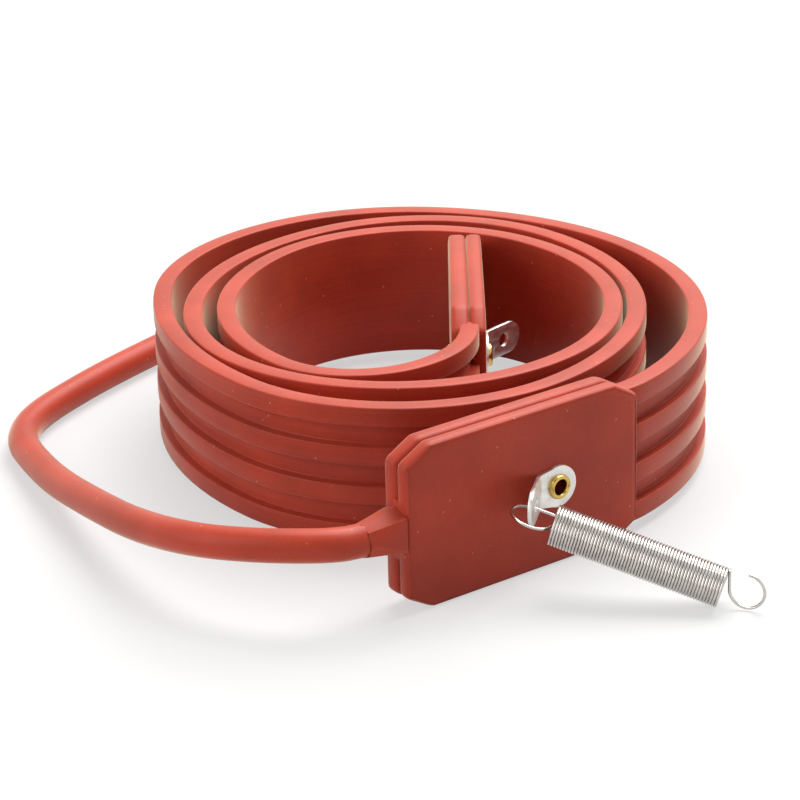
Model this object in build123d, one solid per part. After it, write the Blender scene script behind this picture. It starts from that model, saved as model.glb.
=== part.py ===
"""Crankcase heater belt: a ribbed silicone strip wound into a loose coil, with a moulded end block,
an eyelet and an angled lug at each end, a tension spring hooked in the outer lug, and a supply lead.

Frame: millimetres, +Z up, the coil and both blocks stand on the plane z = 0.
The outer block lies along X with its lug towards -Y.  The origin is under the middle of the object.
"""
from build123d import *
import math
import os

# ribbed heater strip
STRIP_WIDTH = 30.0
STRIP_THICKNESS = 4.1
STRIP_BASE = 2.1
RIB_COUNT = 4
RIB_WIDTH = 4.1
STRIP_TAIL = 15.0
# largest turn between two stations, in degrees
STRIP_STEP = 7.5
# arcs of the strip's flat face from the outer block inwards: radius, and turn in degrees
STRIP_ARCS = [
    (16.5, 13), (65.5, 123), (49.5, 97), (81.0, 42), (42.0, 91), (61.5, 91), (39.0, 76),
    (56.0, 73), (43.5, 147), (50.5, 69), (36.5, 96), (51.5, 76), (19.5, 82), (24.0, 57),
]
# longest end block that lies free inside the coil at these radii; a longer one opens the coil
COIL_HOLDS = 58.5

# moulded end blocks, each of two halves
BLOCK_LENGTH = 58.1
BLOCK_HEIGHT = 35.0
BLOCK_FRONT = 3.6
BLOCK_BACK = 4.0
BLOCK_CUT_LONG = 6.2
BLOCK_CUT_TALL = 3.5
BLOCK_EDGE = 0.6
SEAM_GROOVE = 0.3
MOULD_GAP = 0.05
OUTER_BLOCK_X = 0.6
OUTER_BLOCK_Y = -42.6

# eyelet and angled lug
EYELET_AT = 20.8
EYELET_BORE = 3.0
EYELET_WALL = 0.5
EYELET_FLANGE = 5.3
EYELET_PROUD = 0.9
LUG_SHEET = 0.8
LUG_HEAD = 4.4
LUG_WIDTH = 7.2
LUG_NECK = 4.65
LUG_ANGLE = 41.0
LUG_LENGTH = 11.1
LUG_HOLE_AT = 5.5
LUG_HOLE = 3.1
LUG_BEND = 0.8

# heating cores and splices inside the blocks
WIRE_SIDES = 8
CORE_DIAMETER = 1.6
SLEEVE_AT = 24.0
SLEEVE_DIAMETER = 3.4
SLEEVE_LENGTH = 9.0
LEAD_CORE = 2.4
LEAD_CORE_GAP = 0.48
LINK_REACH = 7.0

# tension spring
SPRING_DIAMETER = 8.3
SPRING_WIRE = 0.6
SPRING_TURNS = 58
SPRING_PITCH = 0.62
SPRING_HEADING = -49.6
SPRING_REST = 4.0
SPRING_GROOVE = 0.24
SPRING_SIDES = 8
HOOK_SIDES = 6
HOOK_LEG = 4.4
HOOK_TURN = 255
FREE_HOOK_HEADING = -66.0
FREE_HOOK_LEG = 4.2
FREE_HOOK_TURN = 250
HOOK_CLEARANCE = 0.3

# supply lead
LEAD_DIAMETER = 6.8
LEAD_SIDES = 8
LEAD_IN_RELIEF = 8.0
# corners of the lead's route after it leaves the block, up to where its coil starts
LEAD_ROUTE = [
    (-73.6, -42.6, 17.5), (-86.0, -33.2, 17.2), (-90.4, -18.0, 16.0), (-89.6, 2.8, 11.5), (-84.2, 26.8, 5.6),
    (-81.0, 49.8, 3.4), (-76.0, 69.3, 3.4), (-64.4, 82.4, 3.4), (-47.4, 90.4, 3.4), (-30.9, 96.8, 3.4),
    (-14.2, 102.4, 3.4), (4.0, 107.7, 3.4), (19.0, 102.5, 3.4),
]
# share of the shorter run beside a corner that the bend takes up
LEAD_BEND_SHARE = 0.45
LEAD_COIL_RADIUS = 33.0
LEAD_COIL_CENTRE = (55.1, 108.4)
LEAD_COIL_START = 215.0
LEAD_COIL_TURN = 245.0
LEAD_TAIL_RADIUS = 22.0
LEAD_TAIL_TURN = 130.0
LEAD_END_LENGTH = 12.0
FERRULE_LENGTH = 8.0
FERRULE_DIAMETER = 1.8
RELIEF_ROOT = 10.2
RELIEF_DEEP = 7.5
RELIEF_TIP = 7.4
RELIEF_OUTSIDE = 8.5
RELIEF_INSIDE = 13.0
RELIEF_PLUG_TALL = 12.6
RELIEF_PLUG_DEEP = 5.0

BLOCK_MID = BLOCK_HEIGHT / 2
RIB_PITCH = (STRIP_WIDTH - RIB_WIDTH) / (RIB_COUNT - 1)
COIL_GROWTH = max(1.0, BLOCK_LENGTH / COIL_HOLDS)


def rib_spans(grow=0.0):
    """Lowest and highest edge of each rib above the strip's lower edge."""
    starts = [index * RIB_PITCH for index in range(RIB_COUNT)]
    return [(start - grow, start + RIB_WIDTH + grow) for start in starts]


def strip_outline(grow=0.0):
    """Cross-section of the strip: flat face on y, ribs towards +x, heights from 0 to the strip's width."""
    valley = STRIP_BASE + grow
    crest = STRIP_THICKNESS + grow
    ribs = []
    for low, high in rib_spans(grow):
        ribs += [(valley, low), (crest, low), (crest, high), (valley, high)]
    corners = [(-grow, -grow)] + ribs[1:-1] + [(-grow, STRIP_WIDTH + grow)]
    return make_face(Polyline(*corners, close=True))


def strip_stations():
    """Stations along the strip's flat face, x, y and heading, from tail to tail."""
    x = OUTER_BLOCK_X
    y = OUTER_BLOCK_Y + STRIP_THICKNESS / 2
    heading = 0.0
    stations = [(x - STRIP_TAIL, y, heading), (x, y, heading)]
    for radius, turn in STRIP_ARCS:
        count = math.ceil(turn / STRIP_STEP)
        step = turn / count
        chord = 2 * radius * COIL_GROWTH * math.sin(math.radians(step / 2))
        for _ in range(count):
            angle = math.radians(heading + step / 2)
            x += chord * math.cos(angle)
            y += chord * math.sin(angle)
            heading += step
            stations.append((x, y, heading))
    angle = math.radians(heading)
    stations.append((x + STRIP_TAIL * math.cos(angle), y + STRIP_TAIL * math.sin(angle), heading))
    return stations


def strip_wall(stations, near, far, low, high):
    """Wall along the strip, from near to far in front of its flat face and from low to high."""
    sides = []
    for reach in (near, far):
        sides.append([
            (x + reach * math.sin(math.radians(heading)), y - reach * math.cos(math.radians(heading)))
            for x, y, heading in stations
        ])
    outline = make_face(Polyline(*sides[0], *reversed(sides[1]), close=True))
    return extrude(Pos(0, 0, low) * outline, high - low)


def heater_strip(stations):
    """The coiled strip: one wall, with the valleys between its ribs cut from it."""
    base = BLOCK_MID - STRIP_WIDTH / 2
    wall = strip_wall(stations, 0, STRIP_THICKNESS, base, base + STRIP_WIDTH)
    ribs = rib_spans()
    valleys = []
    for (_, low), (high, _) in zip(ribs, ribs[1:]):
        valleys.append(strip_wall(stations, STRIP_BASE, STRIP_THICKNESS + MOULD_GAP, base + low, base + high))
    return wall.cut(*valleys)


def block_blank(depth):
    """One half of a block before its hollows are cut, from its seam at y = 0 to its outer face."""
    long_end = BLOCK_LENGTH - BLOCK_CUT_LONG
    tall_end = BLOCK_MID - BLOCK_CUT_TALL
    corners = [
        (0, -tall_end), (0, tall_end), (-BLOCK_CUT_LONG, BLOCK_MID), (-long_end, BLOCK_MID),
        (-BLOCK_LENGTH, tall_end), (-BLOCK_LENGTH, -tall_end), (-long_end, -BLOCK_MID),
        (-BLOCK_CUT_LONG, -BLOCK_MID),
    ]
    half = extrude(Plane.XZ * make_face(Polyline(*corners, close=True)), -depth)
    outer = half.faces().sort_by(Axis.Y)[-1 if depth > 0 else 0]
    half = chamfer(outer.edges(), BLOCK_EDGE)
    seam = half.faces().sort_by(Axis.Y)[0 if depth > 0 else -1]
    return chamfer(seam.edges(), SEAM_GROOVE)


def wire_section(diameter, sides=WIRE_SIDES):
    """Section of a wire or a lead, drawn as a polygon inside the round one."""
    return RegularPolygon(diameter / 2, sides)


def along_x(diameter, start, end, z=0.0, sides=WIRE_SIDES):
    """Bar from x = start to x = end."""
    bar = Plane(origin=(start, 0, z), x_dir=(0, 1, 0), z_dir=(1 if end > start else -1, 0, 0))
    return extrude(bar * wire_section(diameter, sides), abs(end - start))


def relief_plug(grow=0.0):
    """The part of the strain relief that is moulded into the outer block."""
    plane = Plane(origin=(-BLOCK_LENGTH, 0, 0), x_dir=(0, 0, 1), z_dir=(1, 0, 0))
    section = Rectangle(RELIEF_PLUG_TALL + 2 * grow, RELIEF_PLUG_DEEP + 2 * grow)
    return extrude(plane * section, RELIEF_INSIDE + grow)


def splice_channels(grow=0.0):
    """Bars round everything that runs lengthwise inside a block, from the strip's tail to the lead's plug."""
    start = -STRIP_TAIL
    end = -(BLOCK_LENGTH - RELIEF_INSIDE)
    return [along_x(SLEEVE_DIAMETER + 2 * grow, start, end, z=side * RIB_PITCH / 2) for side in (-1, 1)]


def block_halves(with_lead):
    """Front and back half of a block, seated round the strip's tail, the eyelet, the splices and the plug."""
    tail = Plane(origin=(0, STRIP_THICKNESS / 2, -STRIP_WIDTH / 2), x_dir=(0, -1, 0), z_dir=(-1, 0, 0))
    hollows = [extrude(tail * strip_outline(MOULD_GAP), STRIP_TAIL + MOULD_GAP)]
    hollows += splice_channels(MOULD_GAP)
    hollows.append(relief_plug(MOULD_GAP) if with_lead else link_wire(MOULD_GAP))
    barrel = EYELET_BORE + 2 * EYELET_WALL + 2 * MOULD_GAP
    eyelet_plane = Plane(origin=(-EYELET_AT, -BLOCK_FRONT, 0), x_dir=(1, 0, 0), z_dir=(0, 1, 0))
    hollows.append(extrude(eyelet_plane * Circle(barrel / 2), BLOCK_FRONT + BLOCK_BACK))
    front = block_blank(-BLOCK_FRONT)
    back = block_blank(BLOCK_BACK)
    return front.cut(*hollows), back.cut(*hollows)


def eyelet():
    """Brass eyelet through the lug plate and the block, with a flange at each end."""
    front = -BLOCK_FRONT - LUG_SHEET
    bore = EYELET_BORE / 2
    barrel = bore + EYELET_WALL
    rim = EYELET_FLANGE / 2
    profile = [
        (bore, front - EYELET_PROUD), (rim, front - EYELET_PROUD), (rim, front), (barrel, front),
        (barrel, BLOCK_BACK), (rim, BLOCK_BACK), (rim, BLOCK_BACK + EYELET_PROUD),
        (bore, BLOCK_BACK + EYELET_PROUD),
    ]
    section = Plane.XY * make_face(Polyline(*profile, close=True))
    turned = revolve(section, Axis.Y, 360)
    return Pos(-EYELET_AT, 0, 0) * turned


def lug_bend():
    """Where the bend starts, where the ear starts, x and y, and the setback of the bend from its corner."""
    angle = math.radians(LUG_ANGLE)
    setback = LUG_BEND * math.tan(angle / 2)
    start = -EYELET_AT - LUG_NECK + setback
    radius = LUG_BEND + LUG_SHEET
    return start, start - radius * math.sin(angle), -BLOCK_FRONT - radius * (1 - math.cos(angle)), setback


def lug_plate():
    """Steel plate under the eyelet's flange; its ear bends away from the block and has the hook hole."""
    bend_x, ear_x, ear_y, setback = lug_bend()
    half = LUG_WIDTH / 2
    sheet_back = Plane(origin=(0, -BLOCK_FRONT, 0), x_dir=(1, 0, 0), z_dir=(0, -1, 0))
    corners = [(bend_x, -half), (bend_x, half), (-EYELET_AT, LUG_HEAD), (-EYELET_AT, -LUG_HEAD)]
    outline = make_face(Polyline(*corners, close=True)) + Pos(-EYELET_AT, 0) * Circle(LUG_HEAD)
    outline -= Pos(-EYELET_AT, 0) * Circle(EYELET_BORE / 2 + EYELET_WALL + MOULD_GAP)
    flat = extrude(sheet_back * outline, LUG_SHEET)
    across = Plane(origin=(bend_x, -BLOCK_FRONT, 0), x_dir=(0, -1, 0), z_dir=(-1, 0, 0))
    bend_axis = Axis((bend_x, -BLOCK_FRONT - LUG_SHEET - LUG_BEND, 0), (0, 0, 1))
    bend = revolve(across * Pos(LUG_SHEET / 2, 0) * Rectangle(LUG_SHEET, LUG_WIDTH), bend_axis, LUG_ANGLE)
    angle = math.radians(LUG_ANGLE)
    ear_plane = Plane(
        origin=(ear_x, ear_y, 0),
        x_dir=(-math.cos(angle), -math.sin(angle), 0),
        z_dir=(math.sin(angle), -math.cos(angle), 0),
    )
    straight = LUG_LENGTH - setback - half
    tab = Pos(straight / 2, 0) * Rectangle(straight, LUG_WIDTH) + Pos(straight, 0) * Circle(half)
    tab -= Pos(LUG_HOLE_AT - setback, 0) * Circle(LUG_HOLE / 2)
    return flat.fuse(bend, extrude(ear_plane * tab, LUG_SHEET))


def hook_hole():
    """Centre of the lug's hook hole at half the sheet's thickness, x and y in the block's own frame."""
    _, ear_x, ear_y, setback = lug_bend()
    angle = math.radians(LUG_ANGLE)
    reach = LUG_HOLE_AT - setback
    x = ear_x - reach * math.cos(angle) + LUG_SHEET / 2 * math.sin(angle)
    y = ear_y - reach * math.sin(angle) - LUG_SHEET / 2 * math.cos(angle)
    return x, y


def strain_relief():
    """Tapered relief outside the block, its flat-sided plug inside, and the bore that takes the lead."""
    root = Plane(origin=(-BLOCK_LENGTH, 0, 0), x_dir=(0, 1, 0), z_dir=(-1, 0, 0))
    taper = extrude(root * wire_section(RELIEF_ROOT, LEAD_SIDES), RELIEF_OUTSIDE, taper=relief_taper())
    slab = Pos(-BLOCK_LENGTH - RELIEF_OUTSIDE / 2, 0, 0) * Box(RELIEF_OUTSIDE, RELIEF_DEEP, RELIEF_ROOT)
    bore = along_x(
        LEAD_DIAMETER + 2 * MOULD_GAP,
        -BLOCK_LENGTH - RELIEF_OUTSIDE + LEAD_IN_RELIEF,
        -BLOCK_LENGTH - RELIEF_OUTSIDE,
        sides=LEAD_SIDES,
    )
    return (taper & slab).fuse(relief_plug()) - bore


def relief_taper():
    """Half angle of the relief's taper in degrees."""
    return math.degrees(math.atan((RELIEF_ROOT - RELIEF_TIP) / 2 / RELIEF_OUTSIDE))


def link_wire(grow=0.0):
    """Wire that joins the two heating cores behind the inner block's sleeves."""
    start = -SLEEVE_AT - SLEEVE_LENGTH
    side = RIB_PITCH / 2
    far = start - LINK_REACH
    path = Polyline((start, 0, side), (far, 0, side), (far, 0, -side), (start, 0, -side))
    section = Plane(origin=path @ 0, z_dir=path % 0) * wire_section(CORE_DIAMETER + 2 * grow)
    return sweep(section, path=path, transition=Transition.RIGHT)


def block_pieces(name, with_lead):
    """Every piece of one end block in the block's own frame, keyed by node name."""
    front, back = block_halves(with_lead)
    pieces = {f"{name}_block_front": front, f"{name}_block_back": back}
    pieces[f"{name}_eyelet"] = eyelet()
    pieces[f"{name}_lug"] = lug_plate()
    sleeve_end = -SLEEVE_AT - SLEEVE_LENGTH
    for label, side in (("upper", 1), ("lower", -1)):
        height = side * RIB_PITCH / 2
        pieces[f"{name}_core_{label}"] = along_x(CORE_DIAMETER, -STRIP_TAIL, -SLEEVE_AT, z=height)
        pieces[f"{name}_sleeve_{label}"] = along_x(SLEEVE_DIAMETER, -SLEEVE_AT, sleeve_end, z=height)
        if with_lead:
            plug_face = -BLOCK_LENGTH + RELIEF_INSIDE
            pieces[f"{name}_lead_core_{label}"] = along_x(LEAD_CORE, sleeve_end, plug_face, z=height)
    if with_lead:
        pieces["strain_relief"] = strain_relief()
    else:
        pieces["inner_link"] = link_wire()
    return pieces


def unit(heading, slope=0.0):
    """Unit vector in plan at an angle from +X, sloping down by a second angle."""
    angle = math.radians(heading)
    fall = math.radians(slope)
    return Vector(math.cos(fall) * math.cos(angle), math.cos(fall) * math.sin(angle), -math.sin(fall))


def spring_hook(start, along, side, leg, turn):
    """Straight leg from the coil's rim, then an open ring in the plane of along and side."""
    mean = (SPRING_DIAMETER - SPRING_WIRE) / 2
    rim = start + side * mean
    wire = wire_section(SPRING_WIRE, HOOK_SIDES)
    straight = extrude(Plane(origin=rim, z_dir=along) * wire, leg)
    ring_axis = Axis(start + along * leg, side.cross(along))
    ring = revolve(Plane(origin=rim + along * leg, z_dir=along) * wire, ring_axis, turn)
    return straight.fuse(ring)


def tension_spring(hole_x, hole_y):
    """Close-wound spring: a sleeve grooved between its turns, a hook in the lug's hole and a free hook."""
    mean = (SPRING_DIAMETER - SPRING_WIRE) / 2
    outer = SPRING_DIAMETER / 2
    inner = outer - SPRING_WIRE
    length = SPRING_TURNS * SPRING_PITCH
    seat = Vector(hole_x, hole_y, BLOCK_MID - LUG_HOLE / 2 + SPRING_WIRE / 2 + HOOK_CLEARANCE)
    slope = math.degrees(math.asin((seat.Z - SPRING_REST) / (HOOK_LEG + length)))
    run = unit(SPRING_HEADING, slope)
    side = unit(SPRING_HEADING + 90)
    start = seat - side * mean + run * HOOK_LEG
    half = SPRING_PITCH / 2
    sections = []
    for step in range(2 * SPRING_TURNS + 1):
        radius = outer if step % 2 else outer - SPRING_GROOVE
        sections.append(Pos(0, 0, step * half) * RegularPolygon(radius, SPRING_SIDES))
    sleeve = loft(sections, ruled=True) - extrude(RegularPolygon(inner, SPRING_SIDES), length)
    body = Plane(origin=start, x_dir=side, z_dir=run) * sleeve
    end = start + run * length
    fixed_hook = spring_hook(start + run * half, run * -1, side, HOOK_LEG + half, HOOK_TURN)
    free_run = unit(FREE_HOOK_HEADING)
    down = Vector(0, 0, -1)
    rim = end + run.cross(side) * -mean
    ring_start = rim - down * mean - free_run * half
    free_hook = spring_hook(ring_start, free_run, down, FREE_HOOK_LEG + half, FREE_HOOK_TURN)
    return body.fuse(fixed_hook, free_hook), seat


def polar(centre, radius, degrees):
    """Point on a circle in plan."""
    angle = math.radians(degrees)
    return centre[0] + radius * math.cos(angle), centre[1] + radius * math.sin(angle)


def lead_pieces():
    """The free lead: its run from the relief, its put-away turns as one shape, and two ferruled cores."""
    low = LEAD_DIAMETER / 2
    exit_x = OUTER_BLOCK_X - BLOCK_LENGTH - RELIEF_OUTSIDE + LEAD_IN_RELIEF
    first = (exit_x, OUTER_BLOCK_Y, BLOCK_MID)
    joint = (*polar(LEAD_COIL_CENTRE, LEAD_COIL_RADIUS, LEAD_COIL_START), low)
    route = [Vector(*point) for point in (first, *LEAD_ROUTE, joint)]
    runs = [after - before for before, after in zip(route, route[1:])]
    radii = []
    for before, after in zip(runs, runs[1:]):
        shorter = min(before.length, after.length)
        radii.append(LEAD_BEND_SHARE * shorter / math.tan(math.radians(before.get_angle(after) / 2)))
    print("lead radii", [round(radius, 1) for radius in radii])
    path = FilletPolyline(*route, radius=radii)
    jacket = wire_section(LEAD_DIAMETER, LEAD_SIDES)
    tube = sweep(Plane(origin=path @ 0, x_dir=(0, 1, 0), z_dir=path % 0) * jacket, path=path)
    print("lead length", round(path.length, 1), "volume over section", round(tube.volume / jacket.area, 1))

    coil_end = LEAD_COIL_START + LEAD_COIL_TURN
    coil_axis = Axis((*LEAD_COIL_CENTRE, 0), (0, 0, 1))
    outer_shape = Rectangle(LEAD_DIAMETER, LEAD_DIAMETER)
    coil_plane = Plane(origin=joint, x_dir=(0, 0, 1), z_dir=unit(LEAD_COIL_START + 90))
    coil = revolve(coil_plane * outer_shape, coil_axis, LEAD_COIL_TURN)

    tail_start = (*polar(LEAD_COIL_CENTRE, LEAD_COIL_RADIUS, coil_end), low)
    tail_centre = polar(tail_start, LEAD_TAIL_RADIUS, coil_end + 180)
    tail_end = coil_end + LEAD_TAIL_TURN
    tail_plane = Plane(origin=tail_start, x_dir=(0, 0, 1), z_dir=unit(coil_end + 90))
    tail = revolve(tail_plane * outer_shape, Axis((*tail_centre, 0), (0, 0, 1)), LEAD_TAIL_TURN)
    pieces = {"lead": tube, "lead_coil": coil.fuse(tail)}

    tip = Vector(*polar(tail_centre, LEAD_TAIL_RADIUS, tail_end), low)
    heading = unit(tail_end + 90)
    aside = unit(tail_end)
    for label, offset in (("blue", -1), ("brown", 1)):
        start = tip + aside * offset * (LEAD_CORE + LEAD_CORE_GAP) / 2
        core = extrude(Plane(origin=start, z_dir=heading) * wire_section(LEAD_CORE), LEAD_END_LENGTH)
        ferrule_start = start + heading * LEAD_END_LENGTH
        ferrule_plane = Plane(origin=ferrule_start, z_dir=heading)
        ferrule = extrude(ferrule_plane * wire_section(FERRULE_DIAMETER), FERRULE_LENGTH)
        pieces[f"lead_{label}_core"] = core
        pieces[f"lead_{label}_ferrule"] = ferrule
    return pieces


def main():
    stations = strip_stations()
    nodes = {"heater_strip": heater_strip(stations)}
    outer = Pos(OUTER_BLOCK_X, OUTER_BLOCK_Y, BLOCK_MID)
    for name, piece in block_pieces("outer", True).items():
        nodes[name] = outer * piece
    end_x, end_y, heading = stations[-2]
    middle = STRIP_THICKNESS / 2
    angle = math.radians(heading)
    mouth_x = end_x + middle * math.sin(angle)
    mouth_y = end_y - middle * math.cos(angle)
    inner = Pos(mouth_x, mouth_y, BLOCK_MID) * Rot(0, 0, heading + 180) * Rot(180, 0, 0)
    for name, piece in block_pieces("inner", False).items():
        nodes[name] = inner * piece
    hole_x, hole_y = hook_hole()
    spring, seat = tension_spring(OUTER_BLOCK_X + hole_x, OUTER_BLOCK_Y + hole_y)
    nodes["tension_spring"] = spring
    nodes.update(lead_pieces())
    inner_hole = inner * Pos(hole_x, hole_y, 0)
    print("hook hole in outer lug", OUTER_BLOCK_X + hole_x, OUTER_BLOCK_Y + hole_y, "spring pivot", seat)
    print("hook hole in inner lug", inner_hole.position)
    print("inner mouth", mouth_x, mouth_y, "heading", heading + 180)
    os.makedirs("parts", exist_ok=True)
    for name, piece in nodes.items():
        export_step(piece, f"parts/{name}.step")


if __name__ == "__main__":
    main()
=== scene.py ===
import math

import bpy
from mathutils import Matrix, Vector


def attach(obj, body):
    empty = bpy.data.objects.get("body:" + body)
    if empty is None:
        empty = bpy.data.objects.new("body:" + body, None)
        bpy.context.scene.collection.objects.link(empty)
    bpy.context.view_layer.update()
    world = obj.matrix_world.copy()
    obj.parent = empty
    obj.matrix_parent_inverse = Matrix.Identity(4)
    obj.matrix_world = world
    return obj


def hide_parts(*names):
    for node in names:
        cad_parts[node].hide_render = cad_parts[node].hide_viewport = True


bl_info = {
    "name": "Crankcase Heater Belt",
    "version": (1, 0, 0),
    "blender": (4, 5, 0),
    "location": "View3D > Sidebar > Heater Belt",
    "description": "Models and dresses a coiled crankcase heater belt around its packed frame",
    "category": "Mesh",
}

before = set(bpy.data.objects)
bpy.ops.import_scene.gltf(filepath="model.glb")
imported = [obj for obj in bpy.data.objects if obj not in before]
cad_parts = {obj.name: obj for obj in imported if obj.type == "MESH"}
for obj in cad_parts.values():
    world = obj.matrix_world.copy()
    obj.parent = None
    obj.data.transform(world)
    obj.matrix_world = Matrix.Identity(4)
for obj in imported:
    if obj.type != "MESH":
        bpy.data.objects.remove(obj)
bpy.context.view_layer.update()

MM = 0.001
# places that are nearer than this are one
TOUCH = MM * 0.001

# arcs of the strip's flat face from the outer block inwards: radius in millimetres, turn in degrees
STRIP_ARCS = [
    (16.5, 13), (65.5, 123), (49.5, 97), (81.0, 42), (42.0, 91), (61.5, 91), (39.0, 76),
    (56.0, 73), (43.5, 147), (50.5, 69), (36.5, 96), (51.5, 76), (19.5, 82), (24.0, 57),
]
# straight tail at each end, which runs into its block
STRIP_TAIL = 15.0
# degrees of turn to each step of an arc
STRIP_STEP = 3.0
OUTER_MOUTH = Vector((0.6, -42.6, 17.5))

# millimetres: bevels of the blocks' seam, lugs and strain relief, and how far a block's end is proud
SEAM_ROUNDING = 0.15
LUG_ROUNDING = 0.12
RELIEF_ROUNDING = 0.9
BLOCK_PROUD = 0.05

# corners of the lead's route after it leaves the block, in millimetres
LEAD_ROUTE = [
    (-66.0, -42.6, 17.5), (-73.2, -41.4, 18.2), (-82.6, -31.6, 17.6), (-89.2, -19.0, 16.2),
    (-89.9, 1.0, 12.4), (-87.2, 22.5, 9.0), (-83.3, 44.2, 5.4), (-79.0, 61.4, 3.7),
    (-75.6, 73.0, 3.4), (-66.5, 82.4, 3.4), (-47.4, 91.2, 3.4), (-30.9, 97.2, 3.4),
    (-14.2, 102.4, 3.4), (4.0, 107.7, 3.4), (19.0, 102.5, 3.4),
]
LEAD_EXIT = (-58.0, -42.6, 17.5)
# height of the lead's middle where it lies on the floor
LEAD_REST = 3.4
# its put-away turn, and the tail that ends inside it
LEAD_COIL_CENTRE = (55.1, 108.4)
LEAD_COIL_RADIUS = 33.0
LEAD_COIL_START = 215.0
LEAD_COIL_TURN = 245.0
LEAD_TAIL_RADIUS = 22.0
LEAD_TAIL_TURN = 130.0
# degrees between the route's points round a turn, so that a full turn has fifteen
LEAD_POINT_STEP = 24.0

# tension spring: where its wire sits in the lug's hole, directions in degrees, loops in millimetres
SPRING_SEAT = Vector((-29.2633, -50.3064, 16.55))
SPRING_LENGTH = 35.96
SPRING_HEADING = -49.6
SPRING_REST = 4.0
SPRING_STEPS = 26
ELBOW = 0.7
HOOK_LEG = 4.4
HOOK_TURN = 255.0
# the fixed hook's ring is this much larger than the coil, so that it swings clear of the lug
HOOK_EASE = 0.4
HOOK_STEPS = 44
FREE_HOOK_HEADING = -58.0
FREE_HOOK_RADIUS = 3.55
FREE_HOOK_LIFT = 0.2
FREE_HOOK_TURN = 265.0

# sRGB colours of the skin's warm sheen and of the resistance wire
SHEEN_TINT = "FFF1CE"
HEATING_WIRE = "A09E9B"

# camera, as fitted to the photograph's view
CAMERA_PLACE = (-0.3695, -0.4696, 0.2632)
CAMERA_RIGHT = (0.806, -0.592)
CAMERA_PITCH = 22.448
CAMERA_ROLL = -1.446
CAMERA_LENS = 135.0

# stage, in metres: lamps by name, place, size and watts, and a dark card that only bright metal mirrors
LAMPS = [
    ("key_overhead", (0.42, 0.18, 0.8), 0.8, 16.0),
    ("fill_left", (-0.8, 0.2, 0.45), 0.7, 3.6),
]
WORLD_FILL = 0.27
FLOOR_SIZE = 8.0
FLOOR_DROP = 0.0001
FLOOR_SHARE = 0.58
CARD_PLACE = (-0.228, -0.311, 0.46)
CARD_SIZE = 0.32


def srgb(code):
    """Linear colour of an sRGB hex value."""
    values = [int(code[place:place + 2], 16) / 255 for place in (0, 2, 4)]
    return tuple(
        value / 12.92 if value <= 0.04045 else ((value + 0.055) / 1.055) ** 2.4 for value in values
    )


def length_property(name, description, millimetres):
    """Length in metres, shown in the scene's own unit."""
    return bpy.props.FloatProperty(
        name=name, description=description, default=millimetres * MM, min=0.0, precision=5, unit="LENGTH",
    )


def colour_property(name, description, code):
    """Colour picker whose default is an sRGB hex value."""
    return bpy.props.FloatVectorProperty(
        name=name, description=description, default=srgb(code), min=0.0, max=1.0, size=3, subtype="COLOR",
    )


class BeltSizes(bpy.types.PropertyGroup):
    """Sizes of the belt's pieces."""

    strip_width: length_property("Strip width", "Width of the ribbed strip", 30.0)
    strip_thickness: length_property("Strip thickness", "Thickness over the ribs", 4.1)
    strip_base: length_property("Strip base", "Thickness between the ribs", 2.1)
    rib_width: length_property("Rib width", "Width of one rib", 4.1)
    rib_count: bpy.props.IntProperty(name="Ribs", description="Number of ribs", default=4, min=2, max=8)
    strip_rounding: length_property("Strip rounding", "Radius along the strip's edges", 0.35)
    block_length: length_property("Block length", "Length of an end block", 58.1)
    block_height: length_property("Block height", "Height of an end block", 35.0)
    block_front: length_property("Block front", "Depth of the half that carries the lug", 3.6)
    block_back: length_property("Block back", "Depth of the other half", 4.0)
    block_cut_long: length_property("Corner length", "Length of a block's cut corner", 6.2)
    block_cut_tall: length_property("Corner height", "Height of a block's cut corner", 3.5)
    block_rounding: length_property("Block rounding", "Radius round a block's outer face", 0.9)
    block_lip: length_property("Block lip", "Moulding lip that stands out at a block's mouth", 1.0)
    eyelet_at: length_property("Eyelet place", "Distance of the eyelet from the block's mouth", 20.8)
    eyelet_bore: length_property("Eyelet bore", "Bore of the eyelet", 3.0)
    eyelet_wall: length_property("Eyelet wall", "Wall of the eyelet's barrel", 0.5)
    eyelet_flange: length_property("Eyelet flange", "Diameter of the rolled flange", 5.3)
    eyelet_proud: length_property("Eyelet height", "Height of the rolled flange", 0.9)
    lug_sheet: length_property("Lug sheet", "Thickness of the lug", 0.8)
    spring_diameter: length_property("Spring diameter", "Outside diameter of the spring", 8.3)
    spring_wire: length_property("Spring wire", "Diameter of the spring's wire", 0.6)
    spring_turns: bpy.props.FloatProperty(
        name="Spring turns", description="Turns between the hooks", default=57.25, min=1.0,
    )
    lead_diameter: length_property("Lead diameter", "Diameter of the supply lead", 6.8)


class BeltColours(bpy.types.PropertyGroup):
    """Colours of the belt's finishes."""

    silicone: colour_property("Silicone", "Brick red silicone rubber", "B5402C")
    bloom: colour_property("Bloom", "Pale dust that clings to silicone", "E9B3A4")
    brass: colour_property("Brass", "Drawn brass of the eyelets", "D9B666")
    nickel: colour_property("Nickel", "Nickel plate of the lugs", "ECEAE6")
    wire: colour_property("Spring wire", "Drawn stainless wire", "CFCAC4")
    tinned: colour_property("Tinned copper", "Tin on the ferrules and sleeves", "C9CACB")
    brown: colour_property("Brown core", "Insulation of the live core", "5A3822")
    blue: colour_property("Blue core", "Insulation of the neutral core", "2857A0")
    glass_braid: colour_property("Heating core", "Glass fibre under the heating wire", "DDD8CB")
    floor: colour_property("Floor", "Pale floor and backdrop", "D5D4D3")
    card: colour_property("Card", "Black card on the camera's side", "141414")


# ---- shared helpers for meshes


def deselect_all():
    """Leave nothing selected, because a mesh operator acts on all that is."""
    bpy.ops.object.select_all(action="DESELECT")


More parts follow.
